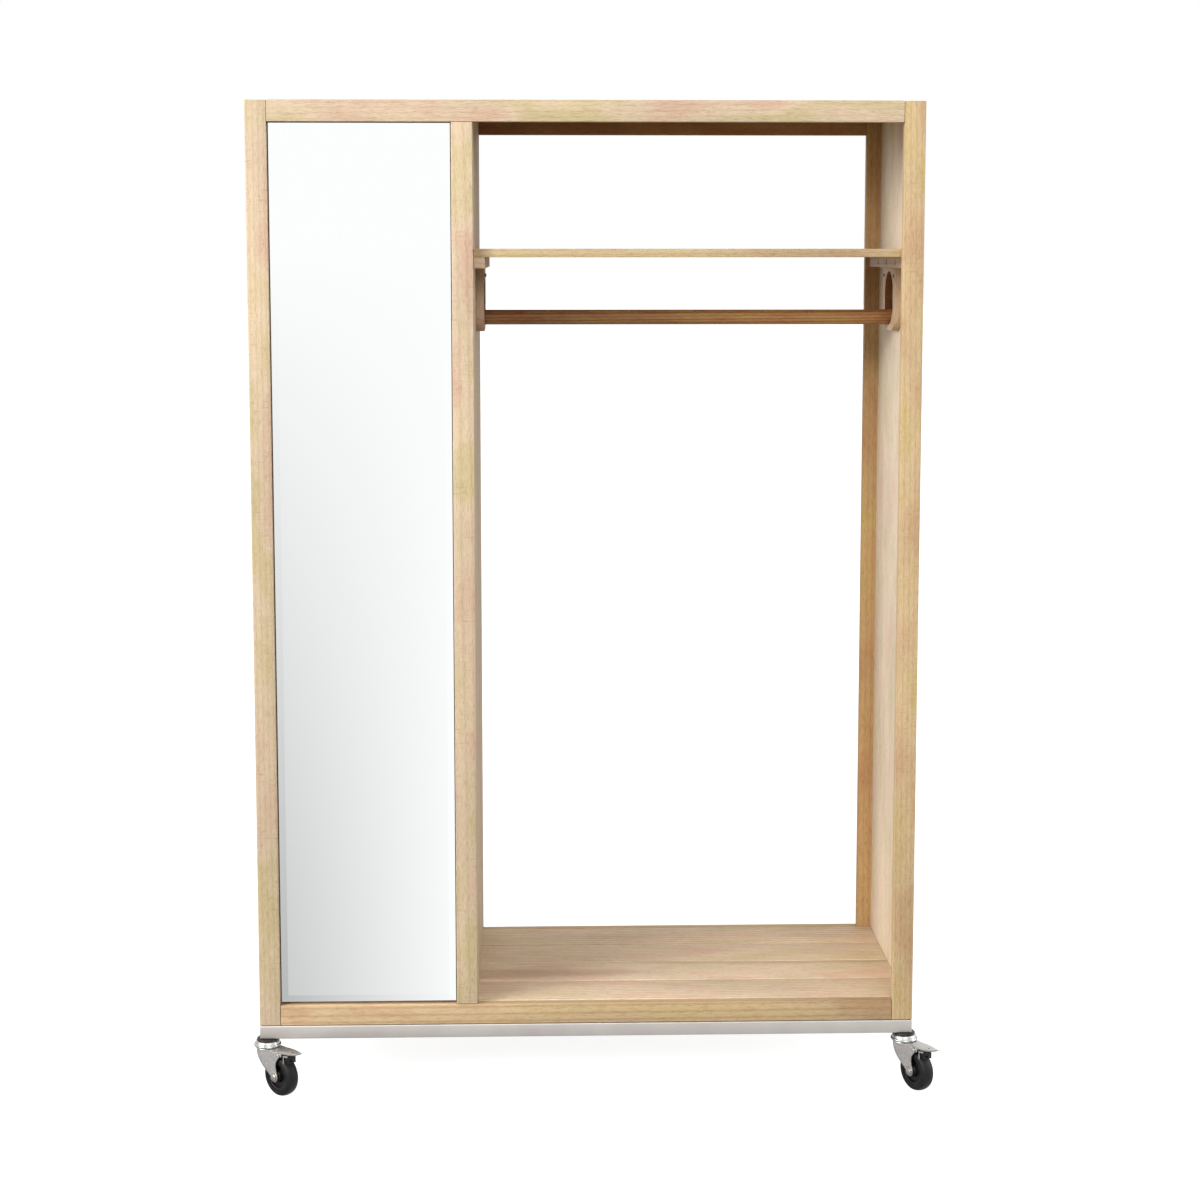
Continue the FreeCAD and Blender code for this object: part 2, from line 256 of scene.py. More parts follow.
def timber(name, along, shift, pith=(0.05, 0.03), ring_mm=9.0,
           tones=("#D5C0A6", "#D2B29B", "#C6B58F"), late="#AB8D68",
           figure=0.35, saw=0.6, patch_mm=55, rough=0.6):
    """Sawn timber: matt, with growth rings, colour patches, pores and cross-grain saw marks."""
    material, tree, shader = blank(name)
    where = add(tree, "ShaderNodeTexCoord")
    turned = add(tree, "ShaderNodeMapping",
                 {"Vector": where.outputs["Object"], "Rotation": ALONG[along],
                  "Location": shift})
    grain = turned.outputs["Vector"]
    # growth rings, ring_mm apart, stretched twelve times along the trunk
    trunk = add(tree, "ShaderNodeMapping",
                {"Vector": grain, "Scale": (1, 1, 0.08), "Location": (*pith, 0),
                 "Rotation": (math.radians(5), math.radians(4), 0)})
    rings = add(tree, "ShaderNodeTexWave", {
        "Vector": trunk.outputs["Vector"], "Scale": 0.314 / (ring_mm * MM), "Distortion": 7.0,
        "Detail": 3.0, "Detail Scale": 0.16, "Detail Roughness": 0.6},
        wave_type="RINGS", rings_direction="Z", wave_profile="SIN")
    dark = add(tree, "ShaderNodeValToRGB", {"Fac": rings.outputs["Fac"]},
               stops=[(0.45, 0.0), (1.0, 1.0), (0.85, 0.4)])
    # colour patches, patch_mm across and three times as long
    spread = add(tree, "ShaderNodeMapping", {"Vector": grain, "Scale": (1 / (patch_mm * MM),
                                             1 / (patch_mm * MM), 0.35 / (patch_mm * MM))})
    patch = add(tree, "ShaderNodeTexNoise", {"Vector": spread.outputs["Vector"], "Scale": 1.0,
                                             "Detail": 4.0, "Roughness": 0.55})
    hue = add(tree, "ShaderNodeValToRGB", {"Fac": patch.outputs["Fac"]},
              stops=[(0.36, linear(tones[1])), (0.64, linear(tones[2])), (0.5, linear(tones[0]))])
    # a second, slower wander between lighter and darker stretches of the board
    slow = add(tree, "ShaderNodeMapping", {"Vector": grain, "Scale": (9, 9, 3.2)})
    drift = add(tree, "ShaderNodeTexNoise",
                {"Vector": slow.outputs["Vector"], "Scale": 1.0, "Detail": 2.0})
    # pores: 1 mm across, 14 mm long
    strands = add(tree, "ShaderNodeMapping", {"Vector": grain, "Scale": (900, 900, 70)})
    pores = add(tree, "ShaderNodeTexNoise", {"Vector": strands.outputs["Vector"], "Scale": 1.0,
                                             "Detail": 2.0, "Roughness": 0.7})
    specks = add(tree, "ShaderNodeValToRGB", {"Fac": pores.outputs["Fac"]},
                 stops=[(0.30, linear("#B79C7A")), (0.52, linear("#FFFFFF"))])
    # saw marks: lines 3 mm apart and 20 mm long across the grain, in broken groups
    blade = add(tree, "ShaderNodeMapping", {"Vector": grain, "Scale": (50, 50, 330)})
    kerf = add(tree, "ShaderNodeTexNoise",
               {"Vector": blade.outputs["Vector"], "Scale": 1.0, "Detail": 1.0})
    group = add(tree, "ShaderNodeMapping", {"Vector": grain, "Scale": (26, 26, 17)})
    where_sawn = add(tree, "ShaderNodeTexNoise", {"Vector": group.outputs["Vector"], "Scale": 1.0,
                                                  "Detail": 1.0})
    line = add(tree, "ShaderNodeMapRange",
               {"Value": kerf.outputs["Fac"], "From Min": 0.55, "From Max": 0.8})
    groups = add(tree, "ShaderNodeMapRange", {"Value": where_sawn.outputs["Fac"], "From Min": 0.45,
                                              "From Max": 0.62, "To Max": saw})
    sawn = add(tree, "ShaderNodeMath",
               {0: line.outputs[0], 1: groups.outputs[0]}, operation="MULTIPLY")
    ringed = add(tree, "ShaderNodeMath",
                 {0: dark.outputs["Color"], 1: figure}, operation="MULTIPLY")
    wood = add(tree, "ShaderNodeMix",
               {0: ringed.outputs[0], 6: hue.outputs["Color"], 7: linear(late)},
               data_type="RGBA", blend_type="MIX")
    flecked = add(tree, "ShaderNodeMix", {0: 0.5, 6: wood.outputs[2], 7: specks.outputs["Color"]},
                  data_type="RGBA", blend_type="MULTIPLY")
    marked = add(tree, "ShaderNodeMix",
                 {0: sawn.outputs[0], 6: flecked.outputs[2], 7: linear("#A88A66")},
                 data_type="RGBA", blend_type="MIX")
    shade = add(tree, "ShaderNodeMapRange",
                {"Value": drift.outputs["Fac"], "From Min": 0.3, "From Max": 0.7,
                 "To Min": 0.9, "To Max": 1.08})
    toned = add(tree, "ShaderNodeHueSaturation",
                {"Color": marked.outputs[2], "Value": shade.outputs[0]})
    sheen = add(tree, "ShaderNodeMapRange", {"Value": pores.outputs["Fac"], "To Min": rough - 0.08,
                                             "To Max": rough + 0.1})
    rises = add(tree, "ShaderNodeMath",
                {0: pores.outputs["Fac"], 1: sawn.outputs[0]}, operation="SUBTRACT")
    relief = add(tree, "ShaderNodeBump", {"Height": rises.outputs[0], "Strength": 0.35,
                                          "Distance": 0.15 * MM})
    tree.links.new(toned.outputs["Color"], shader.inputs["Base Color"])
    tree.links.new(sheen.outputs[0], shader.inputs["Roughness"])
    tree.links.new(relief.outputs["Normal"], shader.inputs["Normal"])
    shader.inputs["IOR"].default_value = 1.45
    shader.inputs["Specular IOR Level"].default_value = 0.3
    return material


# %% [markdown]
# ## Boards, rails and posts
# Every timber part is sawn square and has its edges taken off by sandpaper. Each is made as a box
# over its CAD node, drawn in by a fraction of a millimetre where it meets its neighbours, and its
# edges are rounded, so that joints show as fine dark lines and edges catch the light. Two boards
# from one plank would show the same rings running on through the joint, so each board shifts its
# pattern by its own amount.

# %% Timber parts
TONES = {
    "cream": ("#D3BEA2", "#D0B097", "#C4B38B"), "pale": ("#E3D3BC", "#E0C8B2", "#D6C8A6"),
    "honey": ("#D2B88F", "#CCAA83", "#C9B17C"), "amber": ("#CBA676", "#C4986A", "#CAAC70"),
    "russet": ("#C9AF8A", "#BE9C77", "#C6AE82"), "rose": ("#E6D0B5", "#E1C2A8", "#DBC8A4"),
    "olive": ("#C6B089", "#C0A37E", "#BDAA7A"), "painted_shade_umber": ("#B98F64", "#AC7D55", "#B4925E"),
}
# node: (grain direction, edge radius in mm, gap at each end of X, Y, Z in mm, ring width in mm,
# strength of the figure, strength of the saw marks, tones)
TIMBER = {
    "front_left_post": ("Z", 1.2, (0.3, 0, 0.6), 9, 0.25, 0.75, "cream"),
    "front_divider_post": ("Z", 1.2, (0, 0, 0.5), 10, 0.25, 0.5, "cream"),
    "front_right_post": ("Z", 1.2, (0.3, 0, 0.6), 9, 0.3, 0.6, "honey"),
    "front_top_rail": ("X", 1.1, (0.3, 0, 0), 10, 0.2, 0.25, "cream"),
    "front_bottom_rail": ("X", 1.3, (0.4, 0, 0.6), 12, 0.6, 0.2, "russet"),
    "rear_left_post": ("Z", 1.2, (0.2, 0, 0.6), 9, 0.3, 0.6, "honey"),
    "rear_divider_post": ("Z", 1.0, (0, 0, 0.2), 9, 0.3, 0.6, "honey"),
    "rear_right_post": ("Z", 1.2, (0.2, 0, 0.6), 10, 0.45, 0.4, "amber"),
    # The rear top rail's umber tones are darker than the other boards': painted shade, as the front top rail and
    # top panel shade it.
    "rear_top_rail": ("X", 1.0, (0.2, 0, 0), 9, 0.3, 0.3, "painted_shade_umber"),
    "rear_bottom_rail": ("X", 1.2, (0.3, 0, 0.6), 9, 0.3, 0.3, "honey"),
    "left_side_panel": ("Z", 0.5, (0, 0.2, 0), 34, 0.3, 0.3, "pale"),
    "right_side_panel": ("Z", 0.5, (0, 0.2, 0), 38, 0.3, 0.3, "pale"),
    "divider_panel": ("Z", 0.5, (0, 0.2, 0), 32, 0.25, 0.3, "pale"),
    "top_panel": ("X", 0.5, (0.2, 0.2, 0), 30, 0.3, 0.3, "cream"),
    "floor_board_1": ("X", 1.3, (0.2, 1.3, 0), 9, 0.4, 0.1, "rose"),
    "floor_board_2": ("X", 1.3, (0.2, 1.3, 0), 10, 0.45, 0.1, "rose"),
    "floor_board_3": ("X", 1.3, (0.2, 1.3, 0), 9, 0.5, 0.15, "rose"),
    "floor_board_4": ("X", 1.3, (0.2, 1.3, 0), 11, 0.45, 0.15, "rose"),
    "shelf": ("X", 1.2, (0.2, 0, 0), 9, 0.35, 0.2, "olive"),
}
SLOTS = {entry["node"]: entry["material_slot"] for entry in frame["record"]["subparts"]}
for index, (node, (along, radius, gaps, ring, figure, saw, tones)) in enumerate(TIMBER.items()):
    low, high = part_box(node)
    gap = Vector(gaps) * MM
    board = eased(block(node + "_board", low + gap, high - gap), radius * MM)
    smooth(board)
    shift = (0.137 * index % 0.31, 0.211 * index % 0.43, 0.7 * index)
    pith = (0.03 + 0.021 * (index * 5 % 7), -0.02 - 0.013 * (index * 3 % 5))
    wood = timber("sawn_timber_" + node, along, shift, pith, ring, TONES[tones], figure=figure,
                  saw=saw)
    hang(board, "rack", SLOTS[node], wood, node)
print("timber parts:", len(TIMBER))

# %% [markdown]
# ## Hidden strips
# The battens behind the mirror and the bearers under the floor are plain planed strips that hardly
# show. The CAD model's own shapes are right for them, so they only get a material.

# %% Hidden strips
strip_wood = timber("sawn_timber_strips", "Z", (0.2, 0.1, 0),
                    tones=("#CDB490", "#C6A382", "#BEA97E"))
for node in ("mirror_battens", "floor_bearers"):
    NODES[node].data.materials.clear()
    NODES[node].data.materials.append(strip_wood)

# %% [markdown]
# ## Hardboard
# The mirror's back is a sheet of brown hardboard: wood fibre pressed smooth, with no grain but a
# faint felted speckle.

# %% Hardboard material
hardboard, tree, shader = blank("pressed_hardboard")
where = add(tree, "ShaderNodeTexCoord")
felt = add(tree, "ShaderNodeTexNoise",
           {"Vector": where.outputs["Object"], "Scale": 260.0, "Detail": 5.0,
            "Roughness": 0.7})
brown = add(tree, "ShaderNodeValToRGB", {"Fac": felt.outputs["Fac"]},
            stops=[(0.3, linear("#6E5038")), (0.7, linear("#8C6A4B"))])
dents = add(tree, "ShaderNodeBump",
            {"Height": felt.outputs["Fac"], "Strength": 0.3, "Distance": 0.1 * MM})
tree.links.new(brown.outputs["Color"], shader.inputs["Base Color"])
tree.links.new(dents.outputs["Normal"], shader.inputs["Normal"])
shader.inputs["Roughness"].default_value = 0.7
low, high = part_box("mirror_backing")
backing = eased(block("mirror_backing_sheet", low, high), 0.4 * MM, 2)
hang(backing, "rack", "hardboard", hardboard, "mirror_backing")

# %% [markdown]
# ## Shelf cleats
# The shelf lies on two square cleats screwed to the walls. Each screw sits deep in a bored hole,
# which reads as a dark spot, so the holes are really bored here with a boolean, as a drill would.

# %% Cleats with bored holes
CLEAT_HOLES_Y = (-0.103, 0.0, 0.103)
for side, face in (("left", 1), ("right", -1)):
    node = side + "_shelf_cleat"
    low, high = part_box(node)
    cleat = eased(block(node + "_strip", low, high), 1.0 * MM)
    inner = high.x if face > 0 else low.x
    middle = (low.z + high.z) / 2
    for y in CLEAT_HOLES_Y:
        bored(cleat, 5.5, 18, (inner, y, middle), LYING_ALONG_X, 40)
    smooth(cleat)
    wood = timber("sawn_timber_" + node, "Y", (0.3, 0.05 * face, 1.3), saw=0.2,
                  tones=("#DAC1A6", "#DABAA6", "#CEB796"))
    hang(cleat, "rack", SLOTS[node], wood, node)

# %% [markdown]
# ## Rod rings
# Under each cleat a board hangs down with a big round hole, and the rod simply lies in it. Its two
# lower corners are rounded. The blank starts as a box, the corners are bevelled in edit mode, the
# hole is bored, and then all its rims are eased. The faces of the hole's wall get a second, darker
# wood: painted shade inside the hole.

# %% Rings
dowel = timber("oiled_brown_dowel", "X", (0.0, 0.0, 0.5), (0.012, 0.008), 6.0, figure=0.7, saw=0.0,
               tones=("#A97B4E", "#9C653D", "#AC8550"), late="#6E4524", patch_mm=30, rough=0.42)
# Painted shade: a darker brown wood for the hole's wall, standing for the shade inside the hole.
painted_shade_hole_wood = timber("dark_hole_wall", "Y", (0.3, 0.0, 0.2), (0.012, 0.008), 6.0, figure=0.5, saw=0.0,
                   tones=("#7A4C2B", "#6C4023", "#835830"), late="#4A2C15", patch_mm=30)
HOLE_R, HOLE_Z = 50, 1.448  # radius in mm, height in metres
CORNER = 45 * MM
for side in ("left", "right"):
    node = side + "_rod_ring"
    low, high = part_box(node)
    ring = block(node + "_board", low, high)
    pick(ring, "edges", lambda a, b: abs(a.z - low.z) < 1e-5 and abs(b.z - low.z) < 1e-5
         and abs(a.y - b.y) < 1e-5)
    bpy.ops.mesh.bevel(offset=CORNER, segments=14, affect="EDGES")
    done()
    bored(ring, HOLE_R, 60, ((low.x + high.x) / 2, 0, HOLE_Z), LYING_ALONG_X, 96)
    eased(ring, 0.9 * MM, 2)
    smooth(ring)
    wood = timber("sawn_timber_" + node, "Z", (0.1, 0.4, 2.1), saw=0.2,
                  tones=("#D6BCA0", "#D3AE98", "#C8AE8A"))
    hang(ring, "rack", SLOTS[node], wood, node)
    # The faces of the hole's wall take the darker wood, as painted shade.
    ring.data.materials.append(painted_shade_hole_wood)
    for face in ring.data.polygons:
        from_axis = math.hypot(face.center.y, face.center.z - HOLE_Z)
        in_hole = from_axis < (HOLE_R + 0.2) * MM and abs(face.normal.x) < 0.5
        face.material_index = 1 if in_hole else 0

# %% [markdown]
# ## Hanging rod
# The rod is a thick dowel, darkened to a warm brown by oil and handling. A dowel is turned, so its
# rings run along it as straight streaks. Its ends are inset and chamfered.

# %% Rod
low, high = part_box("hanging_rod")
deselect()
bpy.ops.mesh.primitive_cylinder_add(vertices=72, radius=(high.z - low.z) / 2, depth=high.x - low.x,
                                    location=(low + high) / 2, rotation=LYING_ALONG_X)
rod = named("hanging_rod_dowel")
pick(rod, "polygons", lambda centre, normal: abs(normal.x) > 0.9)
bpy.ops.mesh.inset(thickness=3.0 * MM)
done()
rod = eased(rod, 1.2 * MM, 3)
pick(rod, "edges", lambda a, b: abs(a.x - b.x) > 0.5)
bpy.ops.mesh.subdivide(number_cuts=24)
done()
smooth(rod)
hang(rod, "rod", SLOTS["hanging_rod"], dowel, "hanging_rod")

# %% [markdown]
# ## Screws
# The cleats and rings are held by pan-head screws. Each has a domed head with a cross slot. Only
# the head shows, so only the head is made: a ball is cut in half, flattened and slotted.

# %% Satin steel and the screw
screw_steel, tree, shader = blank("satin_screw_steel")
where = add(tree, "ShaderNodeTexCoord")
scuff = add(tree, "ShaderNodeTexNoise",
            {"Vector": where.outputs["Object"], "Scale": 900.0, "Detail": 3.0})
polish = add(tree, "ShaderNodeMapRange",
             {"Value": scuff.outputs["Fac"], "To Min": 0.3, "To Max": 0.5})
tree.links.new(polish.outputs[0], shader.inputs["Roughness"])
shader.inputs["Base Color"].default_value = linear("#6E665C")
shader.inputs["Metallic"].default_value = 1.0


def screw(name, at, outwards):
    """A pan head: at is where its underside sits, outwards is 1 or -1 along X."""
    deselect()
    bpy.ops.mesh.primitive_uv_sphere_add(segments=28, ring_count=12, radius=3.8 * MM,
                                         location=(0, 0, 0))
    head = named(name)
    pick(head, "vertices", lambda co: True)
    bpy.ops.mesh.bisect(plane_co=(0, 0, 0), plane_no=(0, 0, -1), use_fill=True, clear_outer=True)
    bpy.ops.mesh.select_all(action="SELECT")
    bpy.ops.transform.resize(value=(1, 1, 0.62), center_override=(0, 0, 0))
    done()
    for turn in (0, QUARTER):
        deselect()
        bpy.ops.mesh.primitive_cube_add(size=1, location=(0, 0, 2.3 * MM), rotation=(0, 0, turn),
                                        scale=(4.6 * MM, 0.9 * MM, 2.0 * MM))
        cut_out(head, named("slit"))
    head.data.transform(Matrix.Translation(at) @ Matrix.Rotation(QUARTER * outwards, 4, "Y"))
    smooth(head)
    return head


low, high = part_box("shelf_screws")
# which screws, how far their heads stand off the wall, at what height, and where along the wall
SCREW_ROWS = (("cleat_screw", 11 * MM, 1.515, CLEAT_HOLES_Y),
              ("ring_screw", 15 * MM, 1.490, (-0.058, 0.058)))
heads = []
for name, off, height, places in SCREW_ROWS:
    for y in places:
        heads.append(screw(name, (low.x + off, y, height), 1))
        heads.append(screw(name, (high.x - off, y, height), -1))
screws = joined("shelf_screw_heads", heads)
hang(screws, "rack", "screw_steel", screw_steel, "shelf_screws")

# %% [markdown]
# ## Mirror
# The mirror is silvered float glass with a ground bevel round its rim, about 12 mm wide. The
# bevel is a slightly sloping band, so it mirrors a different part of the room and shows as a fine
# frame of light. The front face is inset and the inner part is pushed forward by 0.6 mm, which
# leaves the band sloping.

# %% Mirror glass
silver, tree, shader = blank("silvered_float_glass")
where = add(tree, "ShaderNodeTexCoord")
cloud = add(tree, "ShaderNodeTexNoise",
            {"Vector": where.outputs["Object"], "Scale": 2.2, "Detail": 1.0})
haze = add(tree, "ShaderNodeMapRange",
           {"Value": cloud.outputs["Fac"], "To Min": 0.004, "To Max": 0.02})
tree.links.new(haze.outputs[0], shader.inputs["Roughness"])
shader.inputs["Base Color"].default_value = linear("#F4F6F6")
shader.inputs["Metallic"].default_value = 1.0
BEVEL_W, BEVEL_RISE = 12 * MM, 0.6 * MM
low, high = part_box("mirror_glass")
glass = block("mirror_plate", low + Vector((0, BEVEL_RISE, 0)), high)
pick(glass, "polygons", lambda centre, normal: normal.y < -0.9)
bpy.ops.mesh.inset(thickness=BEVEL_W)
bpy.ops.transform.translate(value=(0, -BEVEL_RISE, 0))
done()
hang(glass, "rack", "mirror", silver, "mirror_glass")

# %% [markdown]
# ## Steel base
# The base is welded from square tube, drawn over rollers, so its corners are round and its faces
# have a dull silky skin with long faint streaks. Fine scratches run along each tube.

# %% Mill steel material


def mill_steel(name, squeeze):
    """Bare drawn steel tube: grey with a warm cast, streaked along its length."""
    material, tree, shader = blank(name)
    where = add(tree, "ShaderNodeTexCoord")
    drawn = add(tree, "ShaderNodeMapping", {"Vector": where.outputs["Object"], "Scale": squeeze})
    streaks = add(tree, "ShaderNodeTexNoise",
                  {"Vector": drawn.outputs["Vector"], "Scale": 1.0, "Detail": 4.0,
                   "Roughness": 0.6})
    clouds = add(tree, "ShaderNodeTexNoise",
                 {"Vector": where.outputs["Object"], "Scale": 14.0, "Detail": 3.0})
    skin = add(tree, "ShaderNodeValToRGB", {"Fac": clouds.outputs["Fac"]},
               stops=[(0.3, linear("#B4ADA9")), (0.7, linear("#BDB8B3"))])
    polish = add(tree, "ShaderNodeMapRange",
                 {"Value": streaks.outputs["Fac"], "To Min": 0.42, "To Max": 0.62})
    scratches = add(tree, "ShaderNodeBump", {"Height": streaks.outputs["Fac"], "Strength": 0.2,
                                             "Distance": 0.05 * MM})
    tree.links.new(skin.outputs["Color"], shader.inputs["Base Color"])
    tree.links.new(polish.outputs[0], shader.inputs["Roughness"])
    tree.links.new(scratches.outputs["Normal"], shader.inputs["Normal"])
    shader.inputs["Metallic"].default_value = 0.85
    return material


steel_x = mill_steel("drawn_mill_steel_long_tubes", (6, 700, 700))
steel_y = mill_steel("drawn_mill_steel_side_tubes", (700, 6, 700))

# %% Tubes and weld beads
for node, steel in (("base_front_tube", steel_x), ("base_rear_tube", steel_x),
                    ("base_left_tube", steel_y), ("base_right_tube", steel_y)):
    low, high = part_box(node)
    square = eased(block(node + "_steel", low, high), 2.6 * MM, 4)
    smooth(square)
    hang(square, "rack", "base_steel", steel, node)


WELD_R, WELD_DROPS, WELD_INSET = 1.9 * MM, 9, 0.6 * MM


def weld_bead(name, x, y, low_z, high_z):
    """A row of small overlapping drops up a corner, as a weld leaves across a joint."""
    drops = []
    for i in range(WELD_DROPS):
        deselect()
        height = low_z + (high_z - low_z) * (i + 0.5) / WELD_DROPS
        bpy.ops.mesh.primitive_uv_sphere_add(segments=14, ring_count=8, radius=WELD_R,
                                             location=(x, y, height))
        drops.append(named(name))
    bead = joined(name, drops)
    smooth(bead, 60)
    return bead


low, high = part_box("base_left_tube")
inner_left, inner_right = high.x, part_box("base_right_tube")[0].x
for tag, x in (("left", inner_left + WELD_INSET), ("right", inner_right - WELD_INSET)):
    for end, y in (("front", low.y + WELD_INSET), ("rear", high.y - WELD_INSET)):
        bead = weld_bead("weld_%s_%s" % (tag, end), x, y, low.z + 3 * MM, high.z - 3 * MM)
        hang(bead, "rack", "base_steel", steel_y)
print("base tubes and welds done")

# %% [markdown]
# ## Casters
# Four swivel casters carry the rack. Each is built once, in its own frame: the swivel axis is the
# Z axis and the wheel trails along +X. The joints of the CAD model say where each caster stands
# and which way it points, so every piece is then copied four times and turned into place, and
# rides on the body that moves it.

# %% Caster places and copies
JOINTS = {joint["name"]: joint for joint in frame["joints"]}
CASTERS = {}
for caster in ("front_left", "front_right", "rear_left", "rear_right"):
    pivot = Vector(JOINTS[caster + "_swivel"]["pos_m"])
    centre = Vector(JOINTS[caster + "_roll"]["pos_m"])
    arm = centre - pivot
    CASTERS[caster] = (pivot.x, pivot.y, math.atan2(arm.y, arm.x))
TRAIL = math.hypot(arm.x, arm.y)
WHEEL_R = centre.z / MM
AXLE = (TRAIL, 0, centre.z)
PIN = Vector(JOINTS[caster + "_brake"]["pos_m"])
PIN_X, PIN_Z = math.hypot(PIN.x - pivot.x, PIN.y - pivot.y) / MM, PIN.z / MM
print("casters trail", round(TRAIL / MM, 1), "mm, wheel radius", round(WHEEL_R, 1), "mm")


def copied(model, x, y, angle=0.0):
    """A copy with its own mesh, turned about the swivel axis and moved to a caster's place."""
    copy = model.copy()
    copy.data = model.data.copy()
    bpy.context.scene.collection.objects.link(copy)
    copy.data.transform(Matrix.Translation((x, y, 0)) @ Matrix.Rotation(angle, 4, "Z"))
    return copy


def four(model, node, body, slot, material):
    """Hangs a finished piece on the four casters, in place of that node of each if one is named."""
    for caster, (x, y, angle) in CASTERS.items():
        copy = copied(model, x, y, angle)
        copy.name = copy.data.name = caster + "_" + model.name
        nodes = [caster + "_caster_" + node] if node else []
        hang(copy, caster + "_" + body, slot, material, *nodes)
    bpy.data.objects.remove(model)


def lathed(name, outline, segments=56, is_ring=False):
    """Turns an outline of (radius, height) in mm about Z: a circle is extruded and scaled in steps.
    A ring's outline comes back to its first point; any other is closed by a cap at each end."""
    deselect()
    radius, height = outline[0]
    bpy.ops.mesh.primitive_circle_add(vertices=segments, radius=radius * MM,
                                      location=(0, 0, height * MM),
                                      fill_type="NOTHING" if is_ring else "NGON")
    piece = named(name)
    bpy.ops.object.mode_set(mode="EDIT")
    bpy.ops.mesh.select_mode(type="VERT")
    bpy.ops.mesh.select_all(action="SELECT")
    for new_radius, new_height in outline[1:]:
        bpy.ops.mesh.extrude_region_move(
            TRANSFORM_OT_translate={"value": (0, 0, (new_height - height) * MM)})
        scale = new_radius / radius
        bpy.ops.transform.resize(value=(scale, scale, 1), center_override=(0, 0, new_height * MM))
        radius, height = new_radius, new_height
    bpy.ops.mesh.select_all(action="SELECT")
    bpy.ops.mesh.remove_doubles(threshold=0.01 * MM)
    bpy.ops.mesh.normals_make_consistent(inside=False)
    done()
    return piece


def laid(piece, at, about="X"):
    """Tips a piece lathed about Z by a quarter turn, and moves it into place."""
    piece.data.transform(Matrix.Translation(at) @ Matrix.Rotation(QUARTER, 4, about))
    return piece


# %% [markdown]
# ## Plated metals
# The race is bright plated steel, so it mirrors the room in light and dark bands. The fork and
# pedal are pressed steel with a thin zinc coat: grey, satin and faintly cloudy, as the zinc
# crystals differ a little from spot to spot. The clouds are drawn 3 to 8 mm wide.

# %% Metal materials


def plated(name, light, dark, rough, cloud_mm=5.0, metallic=0.95, dents=0.0):
    """Plated steel, from polished chrome to satin zinc, with clouds cloud_mm wide."""
    material, tree, shader = blank(name)
    where = add(tree, "ShaderNodeTexCoord")
    cloud = add(tree, "ShaderNodeTexNoise",
                {"Vector": where.outputs["Object"], "Scale": 1 / (cloud_mm * MM),
                 "Detail": 4.0, "Roughness": 0.6})
    colour = add(tree, "ShaderNodeValToRGB", {"Fac": cloud.outputs["Fac"]},
                 stops=[(0.35, linear(dark)), (0.65, linear(light))])
    polish = add(tree, "ShaderNodeMapRange",
                 {"Value": cloud.outputs["Fac"], "From Min": 0.3, "From Max": 0.7,
                  "To Min": rough * 0.8, "To Max": rough * 1.2})
    tree.links.new(colour.outputs["Color"], shader.inputs["Base Color"])
    tree.links.new(polish.outputs[0], shader.inputs["Roughness"])
    shader.inputs["Metallic"].default_value = metallic
    if dents:
        relief = add(tree, "ShaderNodeBump", {"Height": cloud.outputs["Fac"], "Strength": dents,
                                              "Distance": 0.2 * MM})
        tree.links.new(relief.outputs["Normal"], shader.inputs["Normal"])
    return material


chrome = plated("bright_chrome_plate", "#C6CAC8", "#B2B6B4", 0.3, 8.0, 1.0)
zinc = plated("satin_zinc_fork", "#CECAC7", "#BAB6B3", 0.38, 5.0, 0.9, 0.15)
zinc_pedal = plated("satin_zinc_pedal", "#C6C4C1", "#B2B0AE", 0.36, 4.0, 0.9, 0.25)
zinc_bolt = plated("bright_zinc_bolt", "#CFCBC4", "#B6B2AC", 0.25, 3.0, 1.0, 0.1)
# Painted shade: the dark steel of the race collar stands for the shaded gap between the dome and the tube.
painted_shade_steel = plated("greased_dark_steel", "#3A3330", "#241F1D", 0.4, 4.0, 0.6, 0.2)

# %% [markdown]
# ## Race ring
# The fixed half of the swivel bearing is a stepped dome. A circle is extruded upwards, step by
# step, and scaled at each step, which is how a lathe tool would follow the same outline. The
# collar between the dome and the tube is a piece of its own, in dark steel: painted shade in the
# gap under the tube.

# %% Race rings
RACE = [(8.0, 78.4), (8.0, 81.2), (5.0, 81.3), (5.0, 84.7), (21.6, 84.7), (23.8, 85.3),
        (24.9, 86.6), (25.0, 88.2), (24.5, 89.2), (23.4, 89.8), (22.7, 90.2), (22.5, 91.2),
        (22.2, 92.9), (21.4, 94.5), (20.2, 95.6), (18.0, 96.0)]
# The collar's dark steel is painted shade.
COLLAR = [(18.2, 95.8), (19.4, 96.2), (19.9, 97.2), (19.7, 98.8), (18.6, 99.9)]
for name, outline, material, nodes in (("race_rings", RACE, chrome, ("caster_heads",)),
                                       ("race_collars", COLLAR, painted_shade_steel, ())):
    model = lathed(name, outline, 64)
    smooth(model, 50)
    copies = [copied(model, x, y) for x, y, angle in CASTERS.values()]
    bpy.data.objects.remove(model)
    hang(joined(name, copies), "rack", "race_chrome", material, *nodes)

# %% [markdown]
# ## Fork
# The fork is pressed from one sheet: round the front it wraps like a nose, along the sides it runs
# down as two cheeks that narrow to a round boss at the axle. A flat grid is bent into that shape,
# row by row: each row is a U at one height, from one trailing edge round the nose to the other.
# Subdivision smooths it, Solidify gives the sheet its thickness, and a boolean opens the front
# where the wheel turns, as the press tool does. All sizes of the casters are in millimetres.

# %% Fork
FORK_SHEET = 2.2
CHEEK = 16.1  # from the middle of the fork to the middle of a cheek's sheet
MOUTH_W = 27.6  # width of the opening for the wheel
MOUTH_GAP = 3.2  # and its distance from the tyre
